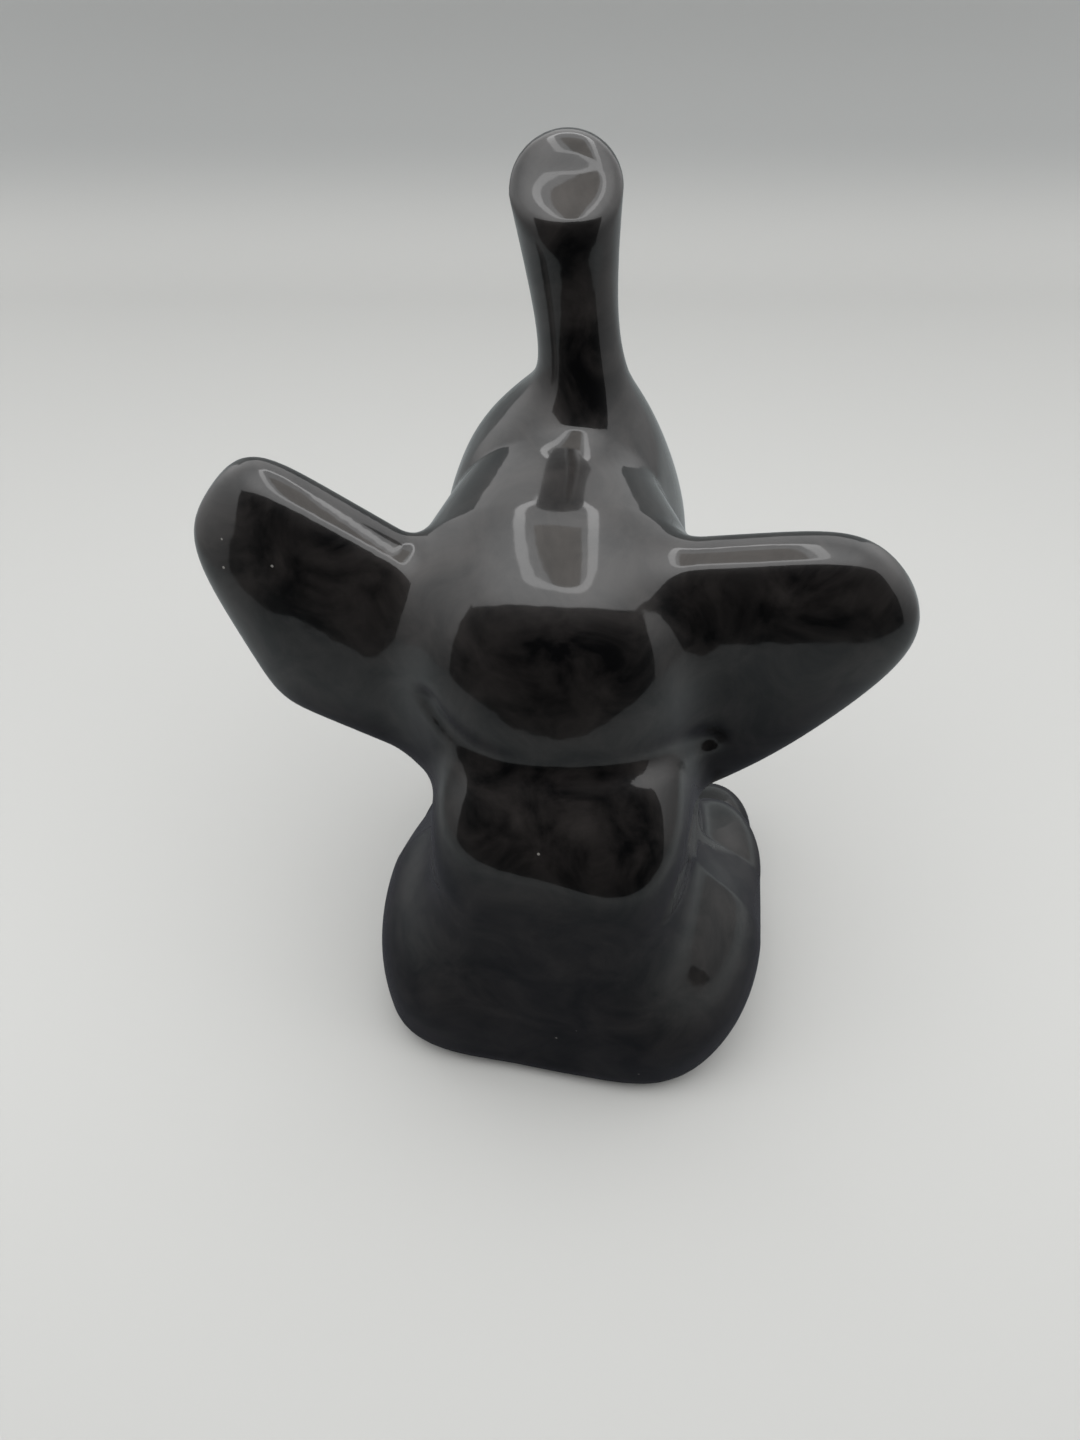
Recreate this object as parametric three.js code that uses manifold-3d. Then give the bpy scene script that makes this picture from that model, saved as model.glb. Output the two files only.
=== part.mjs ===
// A small sitting elephant in glossy black glazed ceramic, cast in one piece, 114 mm tall.
// Millimetres. The underside is flat and lies at z = 0. The figure looks towards -Y, its own left is
// +X and its trunk is raised. The origin is under the middle of its bounding box.
//
// The figure is modelled as clay is: oval lumps with named places and radii, joined by soft fillets.
// Each lump runs from one oval to another. The skin is where the joined field is zero.
import * as THREE from "three";
import { mergeVertices } from "three/addons/utils/BufferGeometryUtils.js";
import Module from "manifold-3d";

// Body lumps: place and half-widths along x, y and z, from the middle of the rump on the ground
const rump = { at: [2.2, 6.1, -1.3], radii: [21.7, 12.5, 22.4] };
const shoulders = { at: [1.4, -2.0, 33.1], radii: [16.7, 19.2, 27.2] };
// The shoulders slope in under the head: they are trimmed to a cone round this upright axis
const neckCone = { x: 4.6, y: -14.0, z: 59.0, radius: 22.8, slopeDegrees: 40.0 };
const belly = { at: [0.0, -9.0, 22.0], radii: [14.0, 14.0, 24.0] };
const haunch = { at: [18.0, -1.5, 12.6], radii: [9.6, 15.5, 14.1] };
const knee = { at: [18.3, -14.0, 12.9], radii: [8.6, 14.0, 6.3] };
const hindFoot = { at: [18.1, -28.8, 2.6], radii: [7.6, 10.3, 7.6] };
const foreleg = { at: [7.5, -15.0, 32.0], radii: [7.0, 7.0, 8.0] };
const forefoot = { at: [7.5, -24.5, 4.0], radii: [7.3, 8.0, 7.0] };

// How the head sits on the body: a few degrees to its left and a little off the middle
const headTurnDegrees = 3.7;
const headOffset = 7.1;

// Head lumps, in the turned frame of the head
const skull = { at: [-2.4, -13.4, 58.8], radii: [19.8, 21.7, 24.6] };
const brow = { at: [-1.2, -24.0, 61.0], radii: [14.8, 13.5, 23.9] };
const nape = { at: [-3.2, -14.5, 54.1], radii: [14.7, 19.9, 14.0] };
const face = { at: [-3.3, -31.1, 59.4], radii: [13.5, 12.1, 16.7] };
const faceMiddle = -2.6;
const chin = { at: [faceMiddle, -29.0, 48.0], radii: [10.0, 9.5, 7.0] };
const lowerLip = { at: [faceMiddle, -38.5, 47.5], radii: [7.0, 6.2, 4.2] };
const mouth = { at: [faceMiddle, -46.5, 55.6], radii: [11.5, 9.5, 4.8] };

// Trunk: a curve through four guide points, with the trunk's radius at each of them. Its end is cut
// off slanting to the back, this far from the last guide point, and has a groove across it.
const trunkGuides = [
  [-1.8, -33.6, 69.6],
  [-4.5, -22.0, 92.8],
  [-3.1, -27.0, 85.6],
  [-1.0, -26.7, 108.6],
];
const trunkRadii = [12.0, 4.9, 3.1, 5.9];
const tipSlantDegrees = 45.0;
const tipReach = 3.3;
const tipGroove = {
  start: { at: [-7.0, -22.3, 112.4], radii: [3.5, 3.5, 3.5] },
  end: { at: [5.0, -22.3, 112.4], radii: [3.5, 3.5, 3.5] },
};
const trunkSamples = 8;
const trunkRefinements = 3;

// Ears: thick pads, bounded by straight sides round a middle. A side faces some degrees from straight
// out towards straight up, at its reach from the middle. The pad's back drifts backwards by the sweep
// for each step out and by the lean for each step up.
const leftEar = {
  middle: [24.0, -4.8, 64.0],
  sweep: -0.07,
  lean: -0.13,
  sides: [
    { towards: 116.2, reach: 16.9 },
    { towards: 40.2, reach: 21.0 },
    { towards: 0.0, reach: 17.4 },
    { towards: -23.6, reach: 10.7 },
    { towards: -72.1, reach: 11.5 },
    { towards: 180.0, reach: 30.0 },
  ],
};
const rightEar = {
  middle: [26.0, -7.0, 64.0],
  sweep: -0.03,
  lean: -0.01,
  sides: [
    { towards: 99.3, reach: 17.3 },
    { towards: 44.3, reach: 20.9 },
    { towards: 0.0, reach: 18.9 },
    { towards: -33.6, reach: 12.9 },
    { towards: -51.1, reach: 14.9 },
    { towards: 180.0, reach: 30.0 },
  ],
};
const earThickness = 5.5;
const earFlatness = 2.69;
const earCorners = 8.8;
const earHollow = {
  inner: { at: [25.0, -21.5, 66.0], radii: [7.0, 7.0, 11.0] },
  outer: { at: [33.0, -22.0, 66.0], radii: [5.0, 7.0, 9.0] },
};

// Reach of the soft fillet where lumps meet
const fillet = {
  haunch: 12.8,
  belly: 4.0,
  foreleg: 4.0,
  betweenForelegs: 5.0,
  foot: 3.0,
  neckCone: 2.0,
  neck: 2.2,
  nape: 8.0,
  face: 5.7,
  trunk: 6.0,
  tip: 3.0,
  tipGroove: 2.0,
  lip: 5.0,
  mouth: 6.0,
  ear: 3.0,
  earHollow: 3.0,
};
const roundOval = 2.0;
const squareness = { rump: 3.4, shoulders: 3.4, skull: 2.45 };

// The skin is taken up by a net of small cells that reaches below the ground, where it is cut off
const buriedDepth = 4.0;
const groundSlab = [200, 200, 20];
const cell = 2.95;
const netLow = [-40.1, -57.0, -8.9];
const netCounts = [34, 29, 44];
const settlePasses = 6;
const probe = 0.02;

function mix(a, b, t) {
  return a + (b - a) * t;
}

// Distance to a lump that runs from one oval to another. A power above 2 makes an end boxy.
function lump(point, from, to, fromPower, toPower = fromPower) {
  const axis = to.at.map((value, k) => value - from.at[k]);
  const lengthSquared = axis.reduce((sum, value) => sum + value * value, 0);
  const along = point.reduce((sum, value, k) => sum + (value - from.at[k]) * axis[k], 0);
  const t = lengthSquared > 0 ? Math.min(Math.max(along / lengthSquared, 0), 1) : 0;
  const power = mix(fromPower, toPower, t);
  let powers = 0;
  const terms = point.map((value, k) => {
    const offset = Math.abs(value - from.at[k] - t * axis[k]) + 1e-6;
    const share = Math.pow(offset / mix(from.radii[k], to.radii[k], t), power);
    powers += share;
    return share / offset;
  });
  const scale = Math.pow(powers, 1 / power);
  const slope = Math.hypot(...terms) * Math.pow(scale, 1 - power);
  return (scale - 1) / slope;
}

function softUnion(a, b, reach) {
  const overlap = Math.max(reach - Math.abs(a - b), 0) / reach;
  return Math.min(a, b) - (overlap * overlap * reach) / 4;
}

function softCut(a, b, reach) {
  return -softUnion(-a, b, reach);
}

function flipped(point) {
  return [-point[0], point[1], point[2]];
}

function mirrored(point) {
  return [Math.abs(point[0]), point[1], point[2]];
}

function bodyField(point) {
  const half = mirrored(point);
  const slope = THREE.MathUtils.degToRad(neckCone.slopeDegrees);
  const out = Math.hypot(point[0] - neckCone.x, point[1] - neckCone.y) - neckCone.radius;
  const outside = out * Math.cos(slope) + (point[2] - neckCone.z) * Math.sin(slope);
  let field = lump(point, rump, shoulders, squareness.rump, squareness.shoulders);
  field = softCut(field, -outside, fillet.neckCone);
  field = softUnion(field, lump(half, haunch, knee, roundOval), fillet.haunch);
  field = softUnion(field, lump(point, belly, belly, roundOval), fillet.belly);
  const leftForeleg = lump(point, foreleg, forefoot, roundOval);
  const rightForeleg = lump(flipped(point), foreleg, forefoot, roundOval);
  const forelegs = softUnion(leftForeleg, rightForeleg, fillet.betweenForelegs);
  field = softUnion(field, forelegs, fillet.foreleg);
  return softUnion(field, lump(half, hindFoot, hindFoot, roundOval), fillet.foot);
}

// A value carried along the trunk from four guide values, and its first and second slopes
function alongTrunk(guides, t) {
  const [a, b, c, d] = guides;
  const s = 1 - t;
  return {
    value: s * s * s * a + 3 * s * s * t * b + 3 * s * t * t * c + t * t * t * d,
    slope: 3 * (s * s * (b - a) + 2 * s * t * (c - b) + t * t * (d - c)),
    bend: 6 * (s * (c - 2 * b + a) + t * (d - 2 * c + b)),
  };
}

const trunkByAxis = [0, 1, 2].map((k) => trunkGuides.map((guide) => guide[k]));

function trunkGap(point, t) {
  return Math.hypot(...point.map((value, k) => value - alongTrunk(trunkByAxis[k], t).value));
}

// Distance to the trunk: the nearest place on its curve is found from a few samples, refined, and
// the radius there is taken off
function trunkField(point) {
  let nearest = 0;
  for (let i = 1; i <= trunkSamples; i++) {
    if (trunkGap(point, i / trunkSamples) < trunkGap(point, nearest)) {
      nearest = i / trunkSamples;
    }
  }
  for (let i = 0; i < trunkRefinements; i++) {
    let pull = 0;
    let speed = 0;
    let bend = 0;
    trunkByAxis.forEach((guides, k) => {
      const here = alongTrunk(guides, nearest);
      pull += (here.value - point[k]) * here.slope;
      speed += here.slope * here.slope;
      bend += (here.value - point[k]) * here.bend;
    });
    nearest = Math.min(Math.max(nearest - pull / (speed + Math.max(bend, 0)), 0), 1);
  }
  const shaft = trunkGap(point, nearest) - alongTrunk(trunkRadii, nearest).value;
  const slant = THREE.MathUtils.degToRad(tipSlantDegrees);
  const end = trunkGuides[3];
  const ahead = (point[1] - end[1]) * Math.cos(slant) + (point[2] - end[2]) * Math.sin(slant);
  const blunt = softCut(shaft, tipReach - ahead, fillet.tip);
  return softCut(blunt, lump(point, tipGroove.start, tipGroove.end, roundOval), fillet.tipGroove);
}

// Distance to an ear. Each side gives the point's share of the way out to it, and a power mean of the
// shares, joined with the share of the thickness, is 1 on the skin.
function earField(point, ear) {
  const out = point[0] - ear.middle[0];
  const up = point[2] - ear.middle[2];
  const across = point[1] - ear.middle[1] - ear.sweep * out - ear.lean * up;
  const height = (Math.abs(across) + 1e-6) / earThickness;
  let total = 1e-9;
  let slopeOut = 0;
  let slopeUp = 0;
  for (const side of ear.sides) {
    const angle = THREE.MathUtils.degToRad(side.towards);
    const aheadOut = Math.cos(angle) / side.reach;
    const aheadUp = Math.sin(angle) / side.reach;
    const share = Math.max(out * aheadOut + up * aheadUp, 0);
    const power = Math.pow(share, earCorners - 1);
    total += power * share;
    slopeOut += power * aheadOut;
    slopeUp += power * aheadUp;
  }
  const flat = Math.pow(total, 1 / earCorners);
  const steepness = Math.hypot(slopeOut, slopeUp) * Math.pow(flat, 1 - earCorners);
  const both = Math.pow(Math.pow(flat, earFlatness) + Math.pow(height, earFlatness), 1 / earFlatness);
  const inPlane = steepness * Math.pow(flat, earFlatness - 1);
  const through = Math.pow(height, earFlatness - 1) / earThickness;
  return ((both - 1) * Math.pow(both, earFlatness - 1)) / Math.hypot(inPlane, through);
}

function headField(point) {
  const turn = THREE.MathUtils.degToRad(headTurnDegrees);
  const local = [
    point[0] * Math.cos(turn) + point[1] * Math.sin(turn) - headOffset,
    point[1] * Math.cos(turn) - point[0] * Math.sin(turn),
    point[2],
  ];
  let field = lump(local, skull, brow, squareness.skull);
  field = softUnion(field, lump(local, nape, nape, roundOval), fillet.nape);
  field = softUnion(field, lump(local, face, face, roundOval), fillet.face);
  field = softUnion(field, trunkField(local), fillet.trunk);
  field = softUnion(field, lump(local, chin, lowerLip, roundOval), fillet.lip);
  field = softCut(field, lump(local, mouth, mouth, roundOval), fillet.mouth);
  let ears = Math.min(earField(local, leftEar), earField(flipped(local), rightEar));
  const hollows = lump(mirrored(local), earHollow.inner, earHollow.outer, roundOval);
  ears = softCut(ears, hollows, fillet.earHollow);
  return softUnion(field, ears, fillet.ear);
}

// Below zero inside the figure, which is carried on a little below the ground.
function figureField(point) {
  const figure = softUnion(bodyField(point), headField(point), fillet.neck);
  return Math.max(figure, -buriedDepth - point[2]);
}

// Slides a point along the field's slope until it lies on the skin.
function settle(start) {
  const point = [...start];
  for (let pass = 0; pass < settlePasses; pass++) {
    const value = figureField(point);
    const slope = [0, 1, 2].map((k) => {
      const ahead = [...point];
      const behind = [...point];
      ahead[k] += probe;
      behind[k] -= probe;
      return (figureField(ahead) - figureField(behind)) / (2 * probe);
    });
    const steepness = slope.reduce((sum, part) => sum + part * part, 1e-9);
    point.forEach((_, k) => (point[k] -= (value * slope[k]) / steepness));
  }
  return point;
}

// Builds the skin as a net: one vertex in each cell that the skin passes through, and one
// four-sided face across each grid edge that it crosses, split along the shorter diagonal.
function skinGeometry() {
  const [nx, ny, nz] = netCounts;
  const nodeIndex = (i, j, k) => (i * (ny + 1) + j) * (nz + 1) + k;
  const cellIndex = (i, j, k) => (i * ny + j) * nz + k;
  const nodeAt = (i, j, k) => [i, j, k].map((count, axis) => netLow[axis] + count * cell);
  const values = new Float64Array((nx + 1) * (ny + 1) * (nz + 1));
  for (let i = 0; i <= nx; i++) {
    for (let j = 0; j <= ny; j++) {
      for (let k = 0; k <= nz; k++) {
        values[nodeIndex(i, j, k)] = figureField(nodeAt(i, j, k));
      }
    }
  }
  const corners = [];
  for (let bits = 0; bits < 8; bits++) {
    corners.push([bits & 1, (bits >> 1) & 1, bits >> 2]);
  }
  const vertices = [];
  const vertexOfCell = new Int32Array(nx * ny * nz).fill(-1);
  for (let i = 0; i < nx; i++) {
    for (let j = 0; j < ny; j++) {
      for (let k = 0; k < nz; k++) {
        const sum = [0, 0, 0];
        let crossings = 0;
        for (const a of corners) {
          for (const b of corners) {
            const steps = b[0] - a[0] + b[1] - a[1] + b[2] - a[2];
            const isEdge = steps === 1 && b.every((value, axis) => value >= a[axis]);
            const va = values[nodeIndex(i + a[0], j + a[1], k + a[2])];
            const vb = values[nodeIndex(i + b[0], j + b[1], k + b[2])];
            if (isEdge && va < 0 !== vb < 0) {
              const t = va / (va - vb);
              const pa = nodeAt(i + a[0], j + a[1], k + a[2]);
              const pb = nodeAt(i + b[0], j + b[1], k + b[2]);
              sum.forEach((_, axis) => (sum[axis] += mix(pa[axis], pb[axis], t)));
              crossings++;
            }
          }
        }
        if (crossings > 0) {
          vertexOfCell[cellIndex(i, j, k)] = vertices.length;
          vertices.push(settle(sum.map((value) => value / crossings)));
        }
      }
    }
  }
  const squaredGap = (a, b) =>
    vertices[a].reduce((sum, value, k) => sum + (value - vertices[b][k]) ** 2, 0);
  const faces = [];
  const addQuad = (a, b, c, d, flip) => {
    const ring = flip ? [d, c, b, a] : [a, b, c, d];
    const [p, q, r, s] = ring;
    if (squaredGap(p, r) < squaredGap(q, s)) {
      faces.push(p, q, r, p, r, s);
    } else {
      faces.push(p, q, s, q, r, s);
    }
  };
  for (let i = 1; i < nx; i++) {
    for (let j = 1; j < ny; j++) {
      for (let k = 1; k < nz; k++) {
        const inside = values[nodeIndex(i, j, k)] < 0;
        const cellAt = (x, y, z) => vertexOfCell[cellIndex(i - x, j - y, k - z)];
        if (inside !== values[nodeIndex(i + 1, j, k)] < 0) {
          addQuad(cellAt(0, 1, 1), cellAt(0, 0, 1), cellAt(0, 0, 0), cellAt(0, 1, 0), !inside);
        }
        if (inside !== values[nodeIndex(i, j + 1, k)] < 0) {
          addQuad(cellAt(1, 0, 1), cellAt(1, 0, 0), cellAt(0, 0, 0), cellAt(0, 0, 1), !inside);
        }
        if (inside !== values[nodeIndex(i, j, k + 1)] < 0) {
          addQuad(cellAt(1, 1, 0), cellAt(0, 1, 0), cellAt(0, 0, 0), cellAt(1, 0, 0), !inside);
        }
      }
    }
  }
  const geometry = new THREE.BufferGeometry();
  geometry.setAttribute("position", new THREE.Float32BufferAttribute(vertices.flat(), 3));
  geometry.setIndex(faces);
  return geometry;
}

const wasm = await Module();
wasm.setup();

function solidOf(geometry) {
  const bare = geometry.clone();
  bare.deleteAttribute("normal");
  bare.deleteAttribute("uv");
  const merged = mergeVertices(bare, 1e-4);
  return new wasm.Manifold(
    new wasm.Mesh({
      numProp: 3,
      vertProperties: merged.attributes.position.array,
      triVerts: new Uint32Array(merged.index.array),
    }),
  );
}

// The flat underside: everything below the ground is cut off
const ground = new THREE.BoxGeometry(...groundSlab).translate(0, 0, -groundSlab[2] / 2);
const seated = solidOf(skinGeometry()).subtract(solidOf(ground)).getMesh();
const skin = new THREE.BufferGeometry();
skin.setAttribute("position", new THREE.BufferAttribute(seated.vertProperties, seated.numProp));
skin.setIndex(new THREE.BufferAttribute(seated.triVerts, 1));
skin.computeBoundingBox();
const middle = skin.boundingBox.getCenter(new THREE.Vector3());
skin.translate(-middle.x, -middle.y, 0);
skin.computeVertexNormals();

const glaze = new THREE.MeshStandardMaterial({ color: 0x1c1b1c, roughness: 0.08, metalness: 0 });
const elephant = new THREE.Mesh(skin, glaze);
elephant.name = "elephant_figurine";

const figurine = new THREE.Group();
figurine.add(elephant);

export default figurine;
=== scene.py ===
"""The ceramic elephant figurine, dressed for its picture."""
import math

import bpy
import numpy as np
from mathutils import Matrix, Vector


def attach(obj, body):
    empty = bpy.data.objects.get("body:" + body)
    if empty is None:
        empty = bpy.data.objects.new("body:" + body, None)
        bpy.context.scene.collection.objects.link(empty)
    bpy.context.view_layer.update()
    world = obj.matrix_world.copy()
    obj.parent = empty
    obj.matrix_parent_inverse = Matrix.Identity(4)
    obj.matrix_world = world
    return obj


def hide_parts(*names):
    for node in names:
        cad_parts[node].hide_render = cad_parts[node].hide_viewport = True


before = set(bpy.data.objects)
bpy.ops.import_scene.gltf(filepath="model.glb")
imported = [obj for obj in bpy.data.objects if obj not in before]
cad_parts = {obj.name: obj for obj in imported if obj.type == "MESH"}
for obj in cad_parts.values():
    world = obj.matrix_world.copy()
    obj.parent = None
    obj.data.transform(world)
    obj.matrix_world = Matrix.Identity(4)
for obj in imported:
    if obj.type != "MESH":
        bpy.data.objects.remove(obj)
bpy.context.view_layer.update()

MM = 0.001

# The camera stands close behind and above the figurine, as for the photograph: it looks down on the
# back of the head from a little to the figurine's right, with a wide lens and no tilt sideways.
CAMERA_AZIMUTH = math.radians(192)
CAMERA_ELEVATION = math.radians(47)
CAMERA_DISTANCE = 139.5 * MM
CAMERA_AIM = Vector((0.94, 7.2, 50.6)) * MM
FOCAL_PIXELS = 1082
IMAGE_HEIGHT = 1440
SENSOR = 36
NEAREST_SEEN = 5 * MM

camera_data = bpy.data.cameras.new("camera")
camera_data.sensor_width = SENSOR
camera_data.lens = SENSOR * FOCAL_PIXELS / IMAGE_HEIGHT
camera_data.clip_start = NEAREST_SEEN
camera = bpy.data.objects.new("camera", camera_data)
bpy.context.scene.collection.objects.link(camera)
bpy.context.scene.camera = camera
towards_camera = Vector((
    math.sin(CAMERA_AZIMUTH) * math.cos(CAMERA_ELEVATION),
    -math.cos(CAMERA_AZIMUTH) * math.cos(CAMERA_ELEVATION),
    math.sin(CAMERA_ELEVATION),
))
camera.location = CAMERA_AIM + CAMERA_DISTANCE * towards_camera
camera.rotation_euler = (-towards_camera).to_track_quat("-Z", "Y").to_euler()

# The figurine: one slip-cast piece of pottery, dipped in a black glaze. It is shaped as clay is, from
# oval lumps in millimetres that melt into each other, and its skin is where the joined field is zero.
# Each lump has its place and its half-widths along x, y and z.
RUMP = ((2.2, 6.1, -1.3), (21.7, 12.5, 22.4))
SHOULDERS = ((1.4, -2.0, 33.1), (16.7, 19.2, 27.2))
RUMP_SQUARENESS = 3.43
SHOULDER_SQUARENESS = 3.42
BELLY = ((0.0, -9.0, 22.0), (14.0, 14.0, 24.0))
HAUNCH = ((18.0, -1.5, 12.6), (9.6, 15.5, 14.1))
KNEE = ((18.3, -14.0, 12.9), (8.6, 14.0, 6.3))
HIND_FOOT = ((18.1, -28.8, 2.6), (7.6, 10.3, 7.6))
FORELEG = ((7.5, -15.0, 32.0), (7.0, 7.0, 8.0))
FOREFOOT = ((7.5, -24.5, 4.0), (7.3, 8.0, 7.0))

# The torso is trimmed to a cone round the neck: the cone's place on its axis, its radius there and how
# far its side leans from upright.
NECK_CONE = (4.6, -14.0, 59.0, 22.8)
NECK_CONE_SLOPE = math.radians(40)
NECK_CONE_EDGE = 2.0

# The head is turned and stands a little aside. Its lumps are given in its own turned frame.
HEAD_TURN = math.radians(3.7)
HEAD_OFFSET = 7.1
SKULL = ((-2.4, -13.4, 58.8), (19.8, 21.7, 24.6))
BROW = ((-1.2, -24.0, 61.0), (14.8, 13.5, 23.9))
SKULL_SQUARENESS = 2.45
NAPE = ((-3.2, -14.5, 54.1), (14.7, 19.9, 14.0))
FACE = ((-3.3, -31.1, 59.4), (13.5, 12.1, 16.7))
CHIN = ((-2.6, -29.0, 48.0), (10.0, 9.5, 7.0))
LOWER_LIP = ((-2.6, -38.5, 47.5), (7.0, 6.2, 4.2))
MOUTH = ((-2.6, -46.5, 55.6), (11.5, 9.5, 4.8))
FACE_MIDDLE = -2.6
EYE = ((10.6, -40.0, 64.6), (1.9, 1.7, 2.3))

# The trunk follows a curve with four guides, and its radius follows the same kind of curve. Its end is
# cut off slanting, a little past the last guide, and has a groove from side to side.
TRUNK_GUIDES = ((-1.8, -33.6, 69.6), (-4.5, -22.0, 92.8), (-3.1, -27.0, 85.6), (-1.0, -26.7, 108.6))
TRUNK_RADII = (12.0, 4.9, 3.1, 5.9)
TIP_SLANT = math.radians(45)
TIP_REACH = 3.3
TIP_GROOVE = (((-7.0, -22.3, 112.4), (3.5, 3.5, 3.5)), ((5.0, -22.3, 112.4), (3.5, 3.5, 3.5)))

# Each ear's sides: the way each one faces, in degrees from straight out, and its reach from the ear's
# middle. An ear's place is that middle, then how far back it goes for each millimetre out and up.
LEFT_EAR_SIDES = ((116.2, 16.9), (40.2, 21.0), (0.0, 17.4), (-23.6, 10.7), (-72.1, 11.5), (180.0, 30.0))
LEFT_EAR_PLACE = (24.0, -4.8, 64.0, -0.07, -0.13)
RIGHT_EAR_SIDES = ((99.3, 17.3), (44.3, 20.9), (0.0, 18.9), (-33.6, 12.9), (-51.1, 14.9), (180.0, 30.0))
RIGHT_EAR_PLACE = (26.0, -7.0, 64.0, -0.03, -0.01)
EAR_HALF_THICKNESS = 5.5
EAR_FLATNESS = 2.69
EAR_CORNERS = 8.8
EAR_HOLLOW = (((25.0, -21.5, 66.0), (7.0, 7.0, 11.0)), ((33.0, -22.0, 66.0), (5.0, 7.0, 9.0)))

# How far each two forms melt into each other, and how round each cut's edge is.
HAUNCH_FILLET = 12.8
BELLY_FILLET = 4.0
BETWEEN_FORELEGS = 5.0
FORELEG_FILLET = 4.0
FOOT_FILLET = 3.0
NAPE_FILLET = 8.0
NECK_FILLET = 2.2
FACE_FILLET = 5.7
TRUNK_FILLET = 6.0
LIP_FILLET = 5.0
EAR_FILLET = 3.0
EYE_EDGE = 1.0
MOUTH_EDGE = 6.0
TIP_EDGE = 3.0
TIP_GROOVE_EDGE = 2.0
EAR_HOLLOW_EDGE = 3.0
BASE_EDGE = 5.0

# The shallow crease under the back of the head follows a curve with four guides.
CREASE = ((17.0, 6.0, 63.5), (9.0, 13.9, 54.5), (-8.0, 13.2, 63.0), (-15.5, -2.5, 55.5))
CREASE_DEPTH = 1.0
CREASE_WIDTH = 1.1

# The field is worked out in small cells between two corners, and the net over its skin is evened out.
# Two tiny values keep roots and shares off zero.
FIELD_LOW = (-42.0, -57.0, -3.0)
FIELD_HIGH = (52.0, 26.0, 118.0)
CELL = 0.56
POINTS_AT_ONCE = 150000
PLACES_ON_CURVE = 9
REFINING_STEPS = 3
EVENING_PASSES = 4
OFF_ZERO = 1e-6
LEAST_TOTAL = 1e-9


def lump(points, start, end, squareness=2.0, end_squareness=None):
    """Distance to a lump that runs from one oval to another: the point's offset from the line between
    them over the half-widths there, less one, divided by its own slope. More squareness is boxier."""
    place, widths = (np.array(part) for part in start)
    run = np.array(end[0]) - place
    length_squared = run @ run
    along = np.clip((points - place) @ run / length_squared, 0, 1) if length_squared else 0.0
    along = np.reshape(along, (-1, 1))
    offset = np.abs(points - place - along * run) + OFF_ZERO
    power = squareness + along * ((end_squareness or squareness) - squareness)
    powers = (offset / (widths + along * (np.array(end[1]) - widths))) ** power
    power = np.broadcast_to(power[:, 0], len(points))
    scale = powers.sum(1) ** (1 / power)
    slope = np.sqrt(((powers / offset) ** 2).sum(1)) * scale ** (1 - power)
    return (scale - 1) / slope


def soft_union(first, second, reach):
    """The smaller of two distances, less a quarter of the squared overlap of the two over their reach."""
    overlap = np.maximum(reach - np.abs(first - second), 0) / reach
    return np.minimum(first, second) - overlap**2 * reach / 4


def soft_cut(kept, removed, reach):
    """Takes the removed form off the kept one, with an edge as round as the reach."""
    return -soft_union(-kept, removed, reach)


def both_sides(points):
    """The points with the figurine's right side folded over onto its left, so that one form makes two."""
    folded = points * 1.0
    folded[:, 0] = np.abs(folded[:, 0])
    return folded


def cubic(guides, t):
    """A curve's value and its first and second slopes at t: its four guides, weighted by the four terms
    of s plus t, cubed, where s is one less t."""
    a, b, c, d = (np.asarray(guide, float) for guide in guides)
    s = 1 - t
    value = s**3 * a + 3 * s * s * t * b + 3 * s * t * t * c + t**3 * d
    slope = 3 * (s * s * (b - a) + 2 * s * t * (c - b) + t * t * (d - c))
    bend = 6 * (s * (c - 2 * b + a) + t * (d - 2 * c + b))
    return value, slope, bend


def gap_to_curve(points, guides):
    """The distance to a curve with four guides, and the curve's t at the nearest place: the nearest of a
    few places on it, then a few steps, each the gap's pull along the curve over its stiffness there."""
    nearest = np.zeros((len(points), 1))
    least = np.full(len(points), np.inf)
    for t in np.linspace(0, 1, PLACES_ON_CURVE):
        gap = ((points - cubic(guides, t)[0]) ** 2).sum(1)
        nearest[gap < least] = t
        least = np.minimum(gap, least)
    for _ in range(REFINING_STEPS):
        value, slope, bend = cubic(guides, nearest)
        gap = value - points
        pull = (gap * slope).sum(1, keepdims=True)
        stiffness = (slope**2).sum(1, keepdims=True)
        stiffness = stiffness + np.maximum((gap * bend).sum(1, keepdims=True), 0)
        nearest = np.clip(nearest - pull / stiffness, 0, 1)
    return np.sqrt(((points - cubic(guides, nearest)[0]) ** 2).sum(1)), nearest


def trunk_field(points):
    """Distance to the trunk: the gap to its curve less its radius there, with its end cut off slanting
    and a groove across it."""
    gap, nearest = gap_to_curve(points, TRUNK_GUIDES)
    shaft = gap - cubic(TRUNK_RADII, nearest)[0][:, 0]
    ahead = (points - TRUNK_GUIDES[3]) @ (0, math.cos(TIP_SLANT), math.sin(TIP_SLANT))
    blunt = soft_cut(shaft, TIP_REACH - ahead, TIP_EDGE)
    return soft_cut(blunt, lump(points, *TIP_GROOVE), TIP_GROOVE_EDGE)


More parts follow.
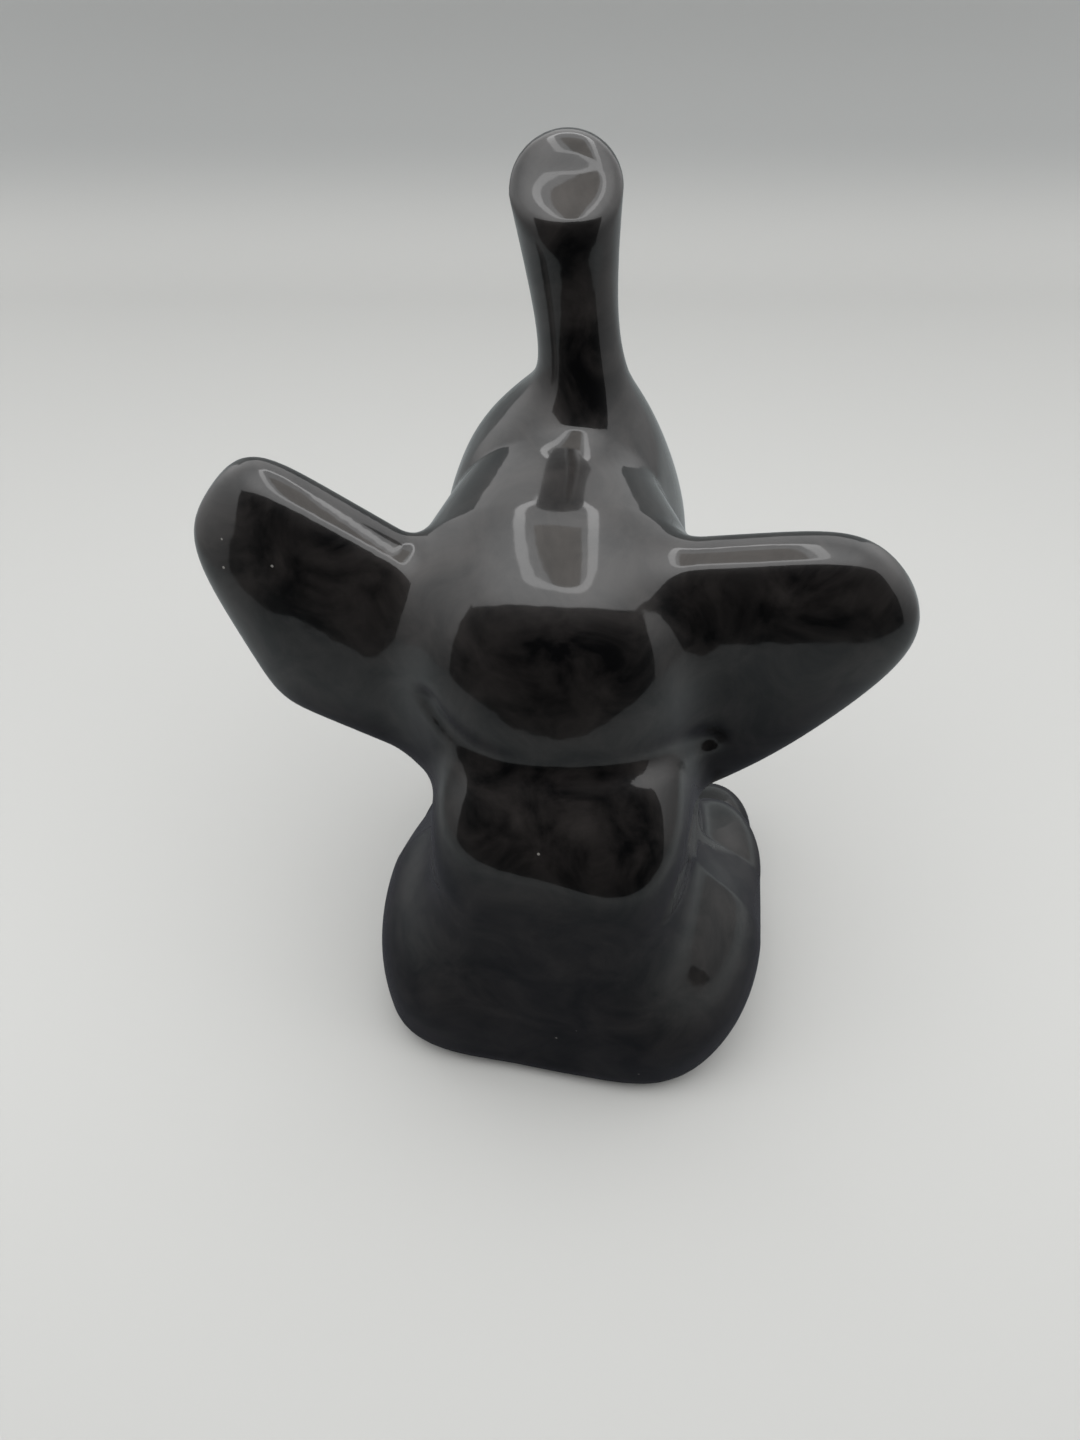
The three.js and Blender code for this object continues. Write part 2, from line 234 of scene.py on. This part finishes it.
def ear_field(points, sides, place):
    """Distance to an ear, a pad between straight sides. Each side gives the point's share of the way out
    to it, a power mean of the shares is the share in the ear's plane, and a second one joins it with the
    share of the half thickness. The field is that, less one, divided by its own slope."""
    x, y, z, sweep, lean = place
    out, up = points[:, 0] - x, points[:, 2] - z
    height = (np.abs(points[:, 1] - y - sweep * out - lean * up) + OFF_ZERO) / EAR_HALF_THICKNESS
    facing = np.radians([turn for turn, _ in sides])
    reaches = np.array([reach for _, reach in sides])
    ahead = np.stack((np.cos(facing), np.sin(facing)), 1) / reaches[:, None]
    shares = np.maximum(np.stack((out, up), 1) @ ahead.T, 0)
    total = np.maximum((shares**EAR_CORNERS).sum(1), LEAST_TOTAL)
    share = total ** (1 / EAR_CORNERS)
    slope = (shares ** (EAR_CORNERS - 1)) @ ahead * (share ** (1 - EAR_CORNERS))[:, None]
    both = (share**EAR_FLATNESS + height**EAR_FLATNESS) ** (1 / EAR_FLATNESS)
    slope = slope * (share ** (EAR_FLATNESS - 1))[:, None]
    through = height ** (EAR_FLATNESS - 1) / EAR_HALF_THICKNESS
    return (both - 1) * both ** (EAR_FLATNESS - 1) / np.sqrt((slope**2).sum(1) + through**2)


def body_field(points):
    """Distance to the sitting body: the torso less what stands outside the neck's cone, then both
    haunches, the belly, the forelegs and the hind feet."""
    field = lump(points, RUMP, SHOULDERS, RUMP_SQUARENESS, SHOULDER_SQUARENESS)
    x, y, z, radius = NECK_CONE
    out = np.hypot(points[:, 0] - x, points[:, 1] - y) - radius
    cone = out * math.cos(NECK_CONE_SLOPE) + (points[:, 2] - z) * math.sin(NECK_CONE_SLOPE)
    field = soft_cut(field, -cone, NECK_CONE_EDGE)
    half = both_sides(points)
    field = soft_union(field, lump(half, HAUNCH, KNEE), HAUNCH_FILLET)
    field = soft_union(field, lump(points, BELLY, BELLY), BELLY_FILLET)
    left_leg = lump(points, FORELEG, FOREFOOT)
    right_leg = lump(points * (-1, 1, 1), FORELEG, FOREFOOT)
    field = soft_union(field, soft_union(left_leg, right_leg, BETWEEN_FORELEGS), FORELEG_FILLET)
    return soft_union(field, lump(half, HIND_FOOT, HIND_FOOT), FOOT_FILLET)


def head_field(points):
    """Distance to the head, in its own turned frame: skull, face, trunk, chin and lip, less the mouth,
    with the eyes and the two ears, whose fronts are dished."""
    local = points * 1.0
    local[:, 0] = points[:, 0] * math.cos(HEAD_TURN) + points[:, 1] * math.sin(HEAD_TURN) - HEAD_OFFSET
    local[:, 1] = points[:, 1] * math.cos(HEAD_TURN) - points[:, 0] * math.sin(HEAD_TURN)
    field = soft_union(lump(local, SKULL, BROW, SKULL_SQUARENESS), lump(local, NAPE, NAPE), NAPE_FILLET)
    field = soft_union(field, lump(local, FACE, FACE), FACE_FILLET)
    field = soft_union(field, trunk_field(local), TRUNK_FILLET)
    field = soft_union(field, lump(local, CHIN, LOWER_LIP), LIP_FILLET)
    field = soft_cut(field, lump(local, MOUTH, MOUTH), MOUTH_EDGE)
    field = soft_union(field, lump(both_sides(local - (FACE_MIDDLE, 0, 0)), EYE, EYE), EYE_EDGE)
    left_ear = ear_field(local, LEFT_EAR_SIDES, LEFT_EAR_PLACE)
    right_ear = ear_field(local * (-1, 1, 1), RIGHT_EAR_SIDES, RIGHT_EAR_PLACE)
    hollows = lump(both_sides(local), *EAR_HOLLOW)
    ears = soft_cut(np.minimum(left_ear, right_ear), hollows, EAR_HOLLOW_EDGE)
    return soft_union(field, ears, EAR_FILLET)


def figure_field(points):
    """Distance to the whole figurine, in millimetres: below zero inside, cut flat at the ground."""
    field = soft_union(body_field(points), head_field(points), NECK_FILLET)
    crease_gap = gap_to_curve(points, CREASE)[0]
    field = field + CREASE_DEPTH * np.exp(-((crease_gap / CREASE_WIDTH) ** 2) / 2)
    return soft_cut(field, points[:, 2], BASE_EDGE)


def field_slope(field, points, step=0.02):
    """The field and its slope, from the field at the four corners of a small tetrahedron."""
    corners = np.array(((1, 1, 1), (1, -1, -1), (-1, 1, -1), (-1, -1, 1)), float) * step
    values = [field(points + corner) for corner in corners]
    slope = sum(value[:, None] * corner for value, corner in zip(values, corners)) / (4 * step**2)
    return sum(values) / 4, slope


def sample_near_skin(field, low, counts, cell, block=4, nearness=1.6):
    """The field on a grid. A block that is further from the skin than nearness times its length keeps
    the value at its middle."""
    blocks = [count // block + 1 for count in counts]
    middles = np.stack(np.meshgrid(*(np.arange(n) for n in blocks), indexing="ij"), -1)
    middles = low + (middles.reshape(-1, 3) * block + (block - 1) / 2) * cell
    coarse = field(middles).reshape(blocks)
    values = coarse
    for axis in range(3):
        values = np.repeat(values, block, axis)
    near = np.stack(np.nonzero(np.abs(coarse) < block * cell * nearness), 1)
    steps = np.stack(np.meshgrid(*(np.arange(block),) * 3, indexing="ij"), -1).reshape(-1, 3)
    index = ((near * block)[:, None, :] + steps).reshape(-1, 3)
    for part in np.array_split(index, max(1, len(index) // POINTS_AT_ONCE)):
        values[part[:, 0], part[:, 1], part[:, 2]] = field(low + part * cell)
    return values


def net_over(values, low, cell):
    """A net over the zero surface of a sampled field: one vertex in each cell that the surface passes
    through, in the middle of its edge crossings, and one quad across each crossed grid edge."""
    shape = np.array(values.shape)
    strides = np.array((shape[1] * shape[2], shape[2], 1))
    sums, counts = np.zeros((values.size, 3)), np.zeros(values.size)
    quads = []
    for axis in range(3):
        second, third = (axis + 1) % 3, (axis + 2) % 3
        ahead = np.take(values, range(1, shape[axis]), axis)
        here = np.take(values, range(shape[axis] - 1), axis)
        start = np.stack(np.nonzero((here < 0) != (ahead < 0)), 1)
        here = here[tuple(start.T)]
        ahead = ahead[tuple(start.T)]
        crossing = start.astype(float)
        crossing[:, axis] += here / (here - ahead)
        flat = start @ strides
        ring = [flat - strides[second] - strides[third], flat - strides[third], flat, flat - strides[second]]
        for cells in ring:
            np.add.at(counts, cells, 1)
            for k in range(3):
                sums[:, k] += np.bincount(cells, crossing[:, k], values.size)
        ring = np.stack(ring, 1)
        ring[here > 0] = ring[here > 0][:, ::-1]
        quads.append(ring)
    quads = np.concatenate(quads)
    used, corners = np.unique(quads, return_inverse=True)
    vertices = low + sums[used] / counts[used][:, None] * cell
    return vertices, corners.reshape(-1, 4)


def even_out(vertices, quads, field, passes):
    """Lets each vertex slide halfway to the mean of its neighbours, then pulls it back to the skin."""
    ends = np.concatenate([np.stack((quads[:, k], quads[:, (k + 1) % 4]), 1) for k in range(4)])
    count = len(vertices)
    degree = np.bincount(ends[:, 0], minlength=count)[:, None]
    for _ in range(passes):
        beside = vertices[ends[:, 1]]
        mean = np.stack([np.bincount(ends[:, 0], beside[:, k], count) for k in range(3)], 1) / degree
        vertices = (vertices + mean) / 2
        value, slope = field_slope(field, vertices)
        vertices = vertices - value[:, None] * slope / (slope**2).sum(1, keepdims=True)
    return vertices


low = np.array(FIELD_LOW)
counts = np.ceil((np.array(FIELD_HIGH) - low) / CELL).astype(int)
values = sample_near_skin(figure_field, low, counts, CELL)
vertices, quads = net_over(values, low, CELL)
vertices = even_out(vertices, quads, figure_field, EVENING_PASSES)
middle = (vertices.min(0) + vertices.max(0)) / 2
vertices -= (middle[0], middle[1], vertices[:, 2].min())

elephant_mesh = bpy.data.meshes.new("glazed_elephant")
elephant_mesh.from_pydata(vertices * MM, [], quads.tolist())
elephant_mesh.shade_smooth()
elephant = bpy.data.objects.new("glazed_elephant", elephant_mesh)
bpy.context.scene.collection.objects.link(elephant)

# The glaze: a clear glossy coat over a black that clouds to a warm dark grey, with a few specks of dust
# on it. It lies in low waves as dipping leaves it, and it is wiped off a narrow rim round the underside.
BLACKEST_GLAZE = (0.0016, 0.0017, 0.0019, 1)
CLOUDED_GLAZE = (0.0200, 0.0180, 0.0172, 1)
CLOUDS_FROM = 0.36
CLOUDS_TO = 0.74
DUST_COLOR = (0.16, 0.155, 0.145, 1)
SPECK_SIZE = 0.055
SPOTLESS_SHARE = 0.86
BARE_CLAY = (0.30, 0.28, 0.25, 1)
BARE_UP_TO = 0.2 * MM
GLAZED_FROM = 0.5 * MM
WAVE_HEIGHT = 0.25 * MM


def add_node(tree, kind, **settings):
    """Adds a shader node and sets its inputs and its own settings by name."""
    made = tree.nodes.new(kind)
    for name, value in settings.items():
        label = name.replace("_", " ")
        if label in made.inputs:
            made.inputs[label].default_value = value
        else:
            setattr(made, name, value)
    return made


def join(tree, *links):
    """Links each pair of an output and an input."""
    for source, target in links:
        tree.links.new(source, target)


glaze = bpy.data.materials.new("black_glaze")
glaze.use_nodes = True
glaze_tree = glaze.node_tree
shader = glaze_tree.nodes["Principled BSDF"]
shader.inputs["Roughness"].default_value = 0.35
shader.inputs["IOR"].default_value = 1.45
shader.inputs["Specular IOR Level"].default_value = 0.2
shader.inputs["Coat Weight"].default_value = 1.0
shader.inputs["Coat Roughness"].default_value = 0.07
shader.inputs["Coat IOR"].default_value = 1.5
place = add_node(glaze_tree, "ShaderNodeTexCoord")
clouds = add_node(glaze_tree, "ShaderNodeTexNoise", Scale=130.0, Detail=6.0, Roughness=0.65, Distortion=0.8)
cloud_ramp = add_node(glaze_tree, "ShaderNodeValToRGB")
ramp_ends = ((CLOUDS_FROM, BLACKEST_GLAZE), (CLOUDS_TO, CLOUDED_GLAZE))
for ramp_end, (position, color) in zip(cloud_ramp.color_ramp.elements, ramp_ends):
    ramp_end.position = position
    ramp_end.color = color
dust = add_node(glaze_tree, "ShaderNodeTexVoronoi", Scale=330.0)
speck = add_node(glaze_tree, "ShaderNodeMath", operation="LESS_THAN")
speck.inputs[1].default_value = SPECK_SIZE
dust_parts = add_node(glaze_tree, "ShaderNodeSeparateColor")
some = add_node(glaze_tree, "ShaderNodeMath", operation="GREATER_THAN")
some.inputs[1].default_value = SPOTLESS_SHARE
dusty = add_node(glaze_tree, "ShaderNodeMath", operation="MULTIPLY")
with_dust = add_node(glaze_tree, "ShaderNodeMixRGB", Color2=DUST_COLOR)
height = add_node(glaze_tree, "ShaderNodeSeparateXYZ")
bare = add_node(glaze_tree, "ShaderNodeMapRange", From_Min=GLAZED_FROM, From_Max=BARE_UP_TO)
with_rim = add_node(glaze_tree, "ShaderNodeMixRGB", Color2=BARE_CLAY)
hand = add_node(glaze_tree, "ShaderNodeTexNoise", Scale=90.0, Detail=3.0, Roughness=0.5)
waves = add_node(glaze_tree, "ShaderNodeBump", Strength=0.55, Distance=WAVE_HEIGHT)
join(
    glaze_tree,
    (place.outputs["Object"], clouds.inputs["Vector"]),
    (place.outputs["Object"], dust.inputs["Vector"]),
    (place.outputs["Object"], height.inputs[0]),
    (place.outputs["Object"], hand.inputs["Vector"]),
    (clouds.outputs["Fac"], cloud_ramp.inputs["Fac"]),
    (dust.outputs["Distance"], speck.inputs[0]),
    (dust.outputs["Color"], dust_parts.inputs[0]),
    (dust_parts.outputs[0], some.inputs[0]),
    (speck.outputs[0], dusty.inputs[0]),
    (some.outputs[0], dusty.inputs[1]),
    (dusty.outputs[0], with_dust.inputs["Fac"]),
    (cloud_ramp.outputs["Color"], with_dust.inputs["Color1"]),
    (height.outputs["Z"], bare.inputs["Value"]),
    (bare.outputs["Result"], with_rim.inputs["Fac"]),
    (with_dust.outputs["Color"], with_rim.inputs["Color1"]),
    (with_rim.outputs["Color"], shader.inputs["Base Color"]),
    (hand.outputs["Fac"], waves.inputs["Height"]),
    (waves.outputs["Normal"], shader.inputs["Normal"]),
    (waves.outputs["Normal"], shader.inputs["Coat Normal"]),
)
elephant_mesh.materials.append(glaze)
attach(elephant, "root")
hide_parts("elephant_figurine")

# The light box: a pale seamless floor that turns up into the back wall, two side walls, and a lit
# ceiling with a ring of lamps in it. It is square to the camera, and open on the camera's side.
BOX_HALF_WIDTH = 220 * MM
FLOOR_FRONT = 130 * MM
FLOOR_BACK = -275 * MM
CEILING = 210 * MM
to_front = Vector((math.sin(CAMERA_AZIMUTH), -math.cos(CAMERA_AZIMUTH), 0))
to_right = Vector((math.cos(CAMERA_AZIMUTH), math.sin(CAMERA_AZIMUTH), 0))


def box_place(right, front, height):
    """A point of the light box, from its distances to the right, the front and up."""
    return to_right * right + to_front * front + Vector((0, 0, height))


def stage_mesh(name, rows, material, closed=False):
    """A sheet of quads through rows of points, as one object of the stage."""
    points = [point for row in rows for point in row]
    across = len(rows[0])
    faces = []
    for r in range(len(rows) - 1):
        for c in range(across if closed else across - 1):
            start, end = r * across + c, r * across + (c + 1) % across
            faces.append((start, end, end + across, start + across))
    mesh = bpy.data.meshes.new(name)
    mesh.from_pydata(points, [], faces)
    mesh.materials.append(material)
    made = bpy.data.objects.new(name, mesh)
    bpy.context.scene.collection.objects.link(made)
    return made


def glowing(name, strength, color=(1, 1, 1)):
    """A plain surface that gives light, and the socket that sets how much."""
    material = bpy.data.materials.new(name)
    material.use_nodes = True
    material.node_tree.nodes.clear()
    glow = add_node(material.node_tree, "ShaderNodeEmission", Color=(*color, 1), Strength=strength)
    out = add_node(material.node_tree, "ShaderNodeOutputMaterial")
    join(material.node_tree, (glow.outputs[0], out.inputs["Surface"]))
    return material, glow.inputs["Strength"]


def smooth_range(tree, low, high, first, last):
    """Carries a value from low to high over smoothly to one from the first to the last."""
    return add_node(
        tree, "ShaderNodeMapRange", interpolation_type="SMOOTHSTEP",
        From_Min=low, From_Max=high, To_Min=first, To_Max=last)


def matt_between(tree, share, first, last):
    """A matt surface that turns from the first colour to the last with the share."""
    shader = add_node(tree, "ShaderNodeBsdfPrincipled", Roughness=0.9, Specular_IOR_Level=0.2)
    blend = add_node(tree, "ShaderNodeMixRGB", Color1=first, Color2=last)
    join(tree, (share, blend.inputs["Fac"]), (blend.outputs["Color"], shader.inputs["Base Color"]))
    return shader


# The floor and the back wall are one sheet of matt paint. Painted shade makes the sheet a little darker
# where it stands up. Where the glaze mirrors the sheet, a darker copy of the paint stands in for it: painted
# shade, darkest near the figurine.
FLOOR_HALF_WIDTH = 4 * BOX_HALF_WIDTH
BACK_WALL_HEIGHT = 500 * MM
SWEEP_RADIUS = 60 * MM
SWEEP_STEPS = 12
# Painted shade: the back wall's paint is darker than the floor's, fully so from this height up.
SHADED_WALL_FROM = 30 * MM
FLOOR_COLOR = (0.462, 0.464, 0.453, 1)
SHADED_WALL_COLOR = (0.335, 0.341, 0.338, 1)
# Painted shade: the floor as the glaze mirrors it is a darker copy of the paint, darkest within the near
# reach of the figurine.
NEAR_MIRRORED_REACH = 45 * MM
FAR_MIRRORED_REACH = 120 * MM
NEAR_MIRRORED_SHADE_COLOR = (0.044, 0.046, 0.053, 1)
FAR_MIRRORED_SHADE_COLOR = (0.230, 0.247, 0.250, 1)

floor_paint = bpy.data.materials.new("floor_paint")
floor_paint.use_nodes = True
floor_tree = floor_paint.node_tree
floor_tree.nodes.clear()
ground_place = add_node(floor_tree, "ShaderNodeNewGeometry")
ground_axes = add_node(floor_tree, "ShaderNodeSeparateXYZ")
rise = smooth_range(floor_tree, 0, SHADED_WALL_FROM, 0, 1)
reach = add_node(floor_tree, "ShaderNodeVectorMath", operation="LENGTH")
away = smooth_range(floor_tree, NEAR_MIRRORED_REACH, FAR_MIRRORED_REACH, 0, 1)
seen = matt_between(floor_tree, rise.outputs["Result"], FLOOR_COLOR, SHADED_WALL_COLOR)
mirrored_shade = matt_between(floor_tree, away.outputs["Result"], NEAR_MIRRORED_SHADE_COLOR, FAR_MIRRORED_SHADE_COLOR)
# Glossy rays see the darker copy with its painted shade, all other rays the seen paint.
rays = add_node(floor_tree, "ShaderNodeLightPath")
either = add_node(floor_tree, "ShaderNodeMixShader")
floor_out = add_node(floor_tree, "ShaderNodeOutputMaterial")
join(
    floor_tree,
    (ground_place.outputs["Position"], ground_axes.inputs[0]),
    (ground_axes.outputs["Z"], rise.inputs["Value"]),
    (ground_place.outputs["Position"], reach.inputs[0]),
    (reach.outputs["Value"], away.inputs["Value"]),
    (rays.outputs["Is Glossy Ray"], either.inputs[0]),
    (seen.outputs[0], either.inputs[1]),
    (mirrored_shade.outputs[0], either.inputs[2]),
    (either.outputs[0], floor_out.inputs["Surface"]),
)
profile = [(FLOOR_FRONT, 0)]
for turn in np.linspace(0, math.radians(90), SWEEP_STEPS + 1):
    back = FLOOR_BACK + SWEEP_RADIUS - SWEEP_RADIUS * math.sin(turn)
    up = SWEEP_RADIUS - SWEEP_RADIUS * math.cos(turn)
    profile.append((back, up))
profile.append((FLOOR_BACK, BACK_WALL_HEIGHT))
floor = stage_mesh("floor", [
    [box_place(side, front, up) for side in (-FLOOR_HALF_WIDTH, FLOOR_HALF_WIDTH)] for front, up in profile
], floor_paint)
floor.data.shade_smooth()

# The side walls light the floor. Where the glaze mirrors them they are dim, and dimmest low down.
WALL_LIGHT = 1.35
LOW_MIRRORED_WALL_LIGHT = 0.3
HIGH_MIRRORED_WALL_LIGHT = 1.3

wall_glow, wall_strength = glowing("wall_glow", WALL_LIGHT)
wall_tree = wall_glow.node_tree
wall_rays = add_node(wall_tree, "ShaderNodeLightPath")
wall_place = add_node(wall_tree, "ShaderNodeNewGeometry")
wall_axes = add_node(wall_tree, "ShaderNodeSeparateXYZ")
by_height = smooth_range(wall_tree, 0, CEILING, LOW_MIRRORED_WALL_LIGHT, HIGH_MIRRORED_WALL_LIGHT)
wall_range = smooth_range(wall_tree, 0, 1, WALL_LIGHT, HIGH_MIRRORED_WALL_LIGHT)
join(
    wall_tree,
    (wall_place.outputs["Position"], wall_axes.inputs[0]),
    (wall_axes.outputs["Z"], by_height.inputs["Value"]),
    (by_height.outputs["Result"], wall_range.inputs["To Max"]),
    (wall_rays.outputs["Is Glossy Ray"], wall_range.inputs["Value"]),
    (wall_range.outputs["Result"], wall_strength),
)
for name, side in (("left_wall", -BOX_HALF_WIDTH), ("right_wall", BOX_HALF_WIDTH)):
    wall = stage_mesh(name, [
        [box_place(side, FLOOR_FRONT, up), box_place(side, FLOOR_BACK, up)] for up in (0, CEILING)
    ], wall_glow)
    wall.visible_camera = False

# The ceiling is brightest a little on the camera's side of the figurine, and fades away from there. Past
# its front edge the glaze mirrors the dark room.
CEILING_FRONT = 143 * MM
BRIGHTEST_FRONT = 70 * MM
BRIGHT_REACH = 40 * MM
FADED_REACH = 190 * MM
CEILING_LIGHT = 2.6
FAR_CEILING_LIGHT = 1.4

ceiling_glow, ceiling_strength = glowing("ceiling_glow", CEILING_LIGHT)
ceiling_tree = ceiling_glow.node_tree
ceiling_place = add_node(ceiling_tree, "ShaderNodeNewGeometry")
from_brightest = add_node(ceiling_tree, "ShaderNodeVectorMath", operation="DISTANCE")
from_brightest.inputs[1].default_value = box_place(0, BRIGHTEST_FRONT, CEILING)
fade = smooth_range(ceiling_tree, BRIGHT_REACH, FADED_REACH, CEILING_LIGHT, FAR_CEILING_LIGHT)
join(
    ceiling_tree,
    (ceiling_place.outputs["Position"], from_brightest.inputs[0]),
    (from_brightest.outputs["Value"], fade.inputs["Value"]),
    (fade.outputs["Result"], ceiling_strength),
)


def ceiling_sheet(name, right, back, front, drop, material):
    """A level sheet under the ceiling, from its half width, its back, its front and how far it hangs."""
    made = stage_mesh(name, [
        [box_place(side, edge, CEILING - drop) for side in (-right, right)] for edge in (back, front)
    ], material)
    made.visible_camera = False
    return made


ceiling_sheet("ceiling", BOX_HALF_WIDTH, FLOOR_BACK, CEILING_FRONT, 0, ceiling_glow)

# The ring of lamps is a flat band with round corners, which hangs just under the ceiling.
RING_HALF_WIDTH = 44 * MM
RING_HALF_LENGTH = 104 * MM
RING_MIDDLE = -6 * MM
RING_WIDTH = 15 * MM
RING_CORNER = 40 * MM
RING_CORNER_STEPS = 8
RING_DROP = 2 * MM
RING_LIGHT = 4.6

ring_rows = []
for inset in (0, RING_WIDTH):
    row = []
    for quarter in range(4):
        diagonal = math.radians(90) * (quarter + 0.5)
        corner = RING_CORNER - inset
        middle_x = math.copysign(RING_HALF_WIDTH - RING_CORNER, math.cos(diagonal))
        middle_y = math.copysign(RING_HALF_LENGTH - RING_CORNER, math.sin(diagonal))
        for k in range(RING_CORNER_STEPS + 1):
            turn = math.radians(90) * (quarter + k / RING_CORNER_STEPS)
            x = middle_x + corner * math.cos(turn)
            y = middle_y + corner * math.sin(turn) + RING_MIDDLE
            row.append(box_place(x, y, CEILING - RING_DROP))
    ring_rows.append(row)
ring = stage_mesh("lamp_ring", ring_rows, glowing("ring_glow", RING_LIGHT)[0], closed=True)
ring.visible_camera = False

# Inside the ring the ceiling has a dim opening, which shows only in the glaze. A wide soft light over
# the camera's side of the floor fills the shadows there, and the glaze doesn't mirror it.
HOLE_HALF_WIDTH = 20 * MM
HOLE_HALF_LENGTH = 62 * MM
HOLE_MIDDLE = 23 * MM
HOLE_DROP = 1 * MM
HOLE_LIGHT = 1.4
HOLE_COLOR = (1.0, 0.94, 0.88)
FRONT_LIGHT_BACK = 20 * MM
FRONT_LIGHT_DROP = 3 * MM
FRONT_LIGHT = 3.6

hole_glow = glowing("hole_glow", HOLE_LIGHT, HOLE_COLOR)[0]
hole_back = HOLE_MIDDLE - HOLE_HALF_LENGTH
hole_front = HOLE_MIDDLE + HOLE_HALF_LENGTH
hole = ceiling_sheet("ceiling_hole", HOLE_HALF_WIDTH, hole_back, hole_front, HOLE_DROP, hole_glow)
hole.visible_diffuse = False
front_glow = glowing("front_glow", FRONT_LIGHT)[0]
front_light = ceiling_sheet(
    "front_light", BOX_HALF_WIDTH, FRONT_LIGHT_BACK, CEILING_FRONT, FRONT_LIGHT_DROP, front_glow)
front_light.visible_glossy = False

# Outside the box the same floor goes on for views from other sides, and neither lights nor mirrors. The
# room round it is a plain grey to the camera, and nearly black wherever the glaze mirrors it.
OUTER_FLOOR_REACH = 3
SEEN_ROOM = (0.4, 0.4, 0.4, 1)
DARK_ROOM = (0.006, 0.005, 0.005, 1)

outer_floor = stage_mesh("outer_floor", [
    [box_place(side, front, 0) for side in (-OUTER_FLOOR_REACH, OUTER_FLOOR_REACH)]
    for front in (FLOOR_FRONT, OUTER_FLOOR_REACH)
], floor_paint)
outer_floor.visible_glossy = False
outer_floor.visible_diffuse = False

world = bpy.data.worlds.new("room")
bpy.context.scene.world = world
world.use_nodes = True
room = world.node_tree
grey = room.nodes["Background"]
grey.inputs["Color"].default_value = SEEN_ROOM
dark = add_node(room, "ShaderNodeBackground", Color=DARK_ROOM)
ray = add_node(room, "ShaderNodeLightPath")
pick = add_node(room, "ShaderNodeMixShader")
join(
    room,
    (ray.outputs["Is Camera Ray"], pick.inputs[0]),
    (dark.outputs[0], pick.inputs[1]),
    (grey.outputs[0], pick.inputs[2]),
    (pick.outputs[0], room.nodes["World Output"].inputs["Surface"]),
)
bpy.context.scene.view_settings.view_transform = "Standard"
